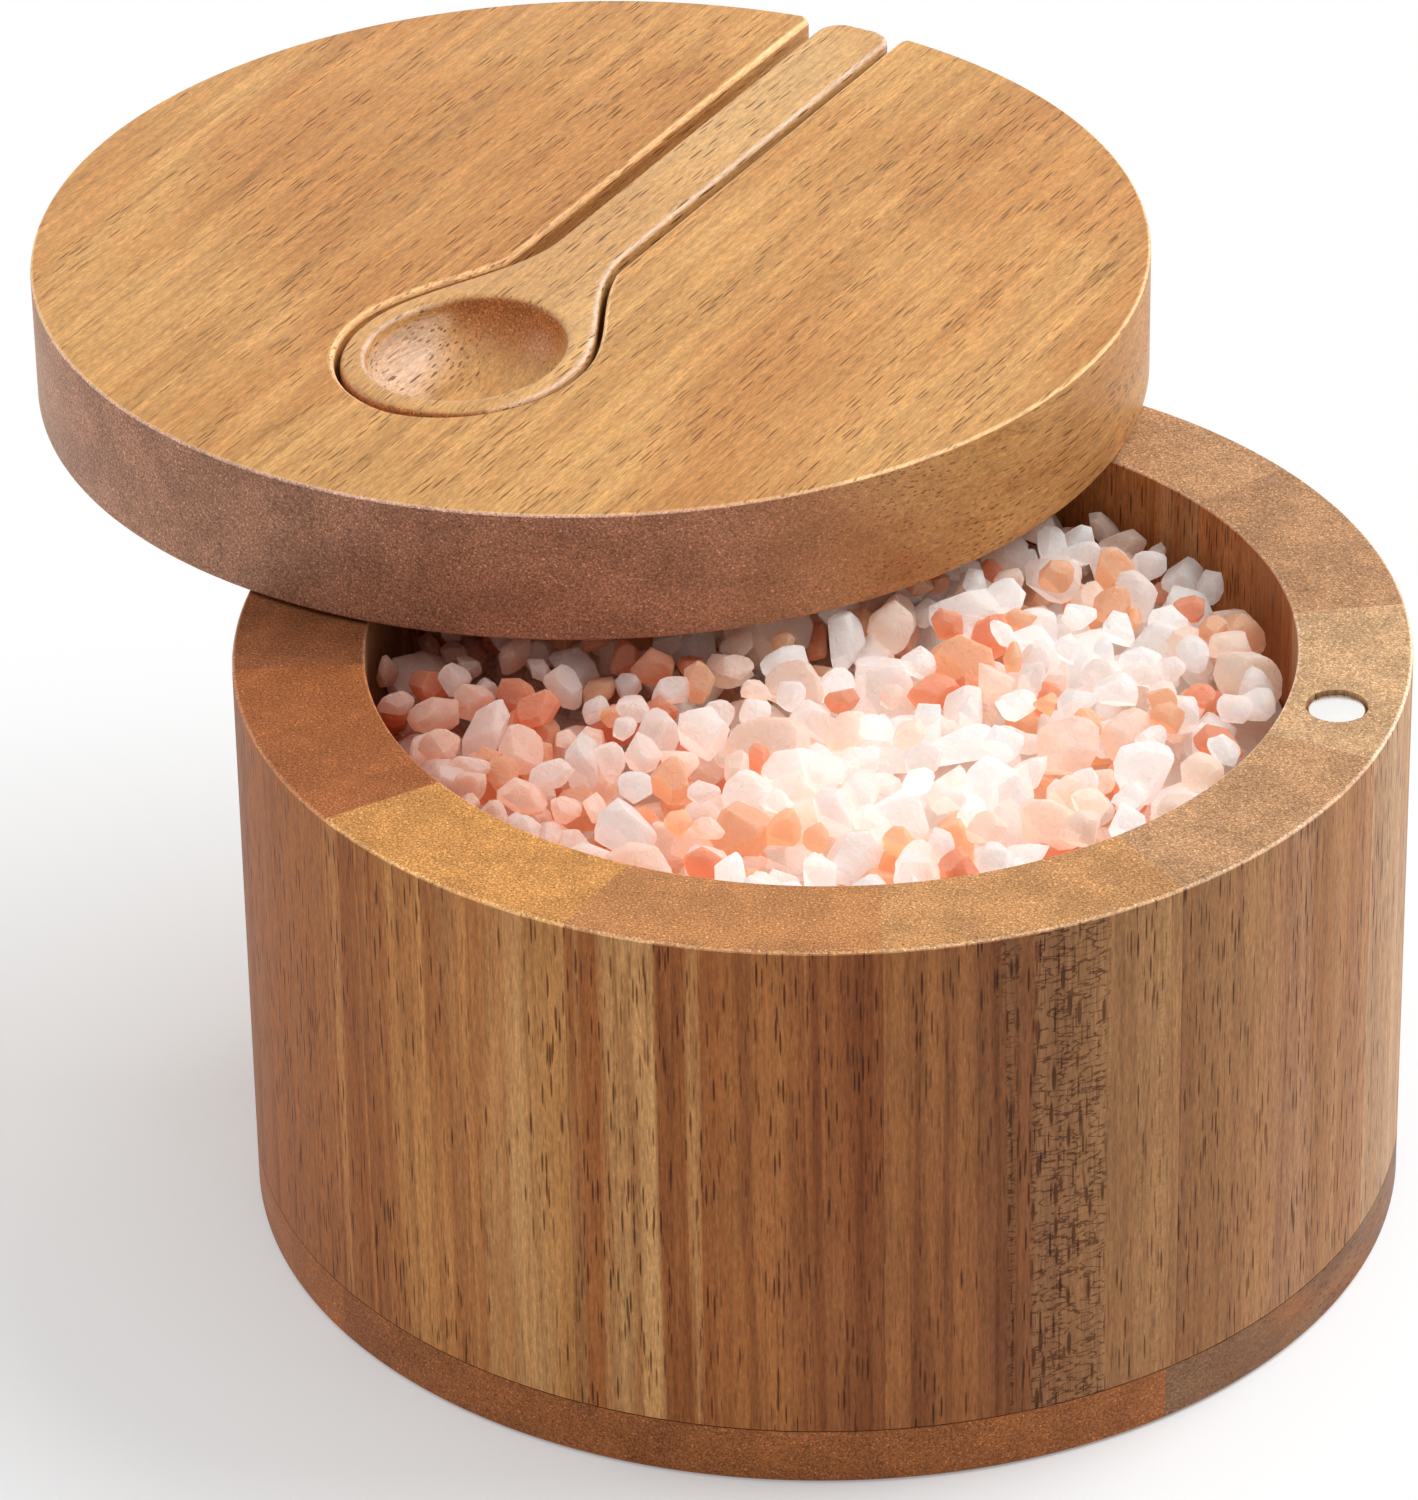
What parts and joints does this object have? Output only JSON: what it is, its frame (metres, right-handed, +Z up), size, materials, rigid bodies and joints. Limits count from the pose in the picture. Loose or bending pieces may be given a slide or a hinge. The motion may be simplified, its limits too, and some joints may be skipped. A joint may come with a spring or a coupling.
{
  "type": "salt cellar",
  "caption": "Round wooden salt cellar filled with coarse salt, with a swivel lid that turns on a pin and a spoon let into a groove in the lid.",
  "frame": {"origin": "centre of the cup's underside, on the surface that it stands on", "axes": "+Z up along the cup's axis, +X from the swivel pin through the cup's centre to the magnet in the rim, +Y towards the side that the lid is swung to"},
  "size_m": [0.1357, 0.1444, 0.0658],
  "materials": {
    "stave_red_brown": "satin",
    "stave_golden": "satin",
    "stave_brown": "satin",
    "stave_figured": "satin",
    "stave_mid_brown": "satin",
    "stave_pale": "satin",
    "base_wood": "satin",
    "lid_wood": "satin",
    "spoon_wood": "satin",
    "pin_steel": "satin",
    "magnet_nickel": "polished",
    "salt_crystals": "matte"
  },
  "bodies": {
    "cup": {"base_plank_left": "base_wood", "base_plank_middle": "base_wood", "base_plank_right": "base_wood", "wall_stave_01": "stave_red_brown", "wall_stave_02": "stave_golden", "wall_stave_03": "stave_brown", "wall_stave_04": "stave_figured", "wall_stave_05": "stave_mid_brown", "wall_stave_06": "stave_pale", "wall_stave_07": "stave_red_brown", "wall_stave_08": "stave_golden", "wall_stave_09": "stave_brown", "wall_stave_10": "stave_figured", "wall_stave_11": "stave_mid_brown", "wall_stave_12": "stave_pale", "swivel_pin": "pin_steel", "cup_magnet": "magnet_nickel", "salt": "salt_crystals"},
    "lid": {"lid": "lid_wood", "lid_magnet": "magnet_nickel"},
    "spoon": {"spoon": "spoon_wood"}
  },
  "joints": [
    {"name": "lid_swivel", "type": "hinge", "parent": "cup", "child": "lid", "pos_m": [-0.0435, 0, 0.053], "axis": [0, 0, 1], "range_deg": [-77, 103]},
    {"name": "spoon_lift", "type": "slide", "parent": "lid", "child": "spoon", "axis": [0, 0, 1], "range_m": [0, 0.03]}
  ]
}
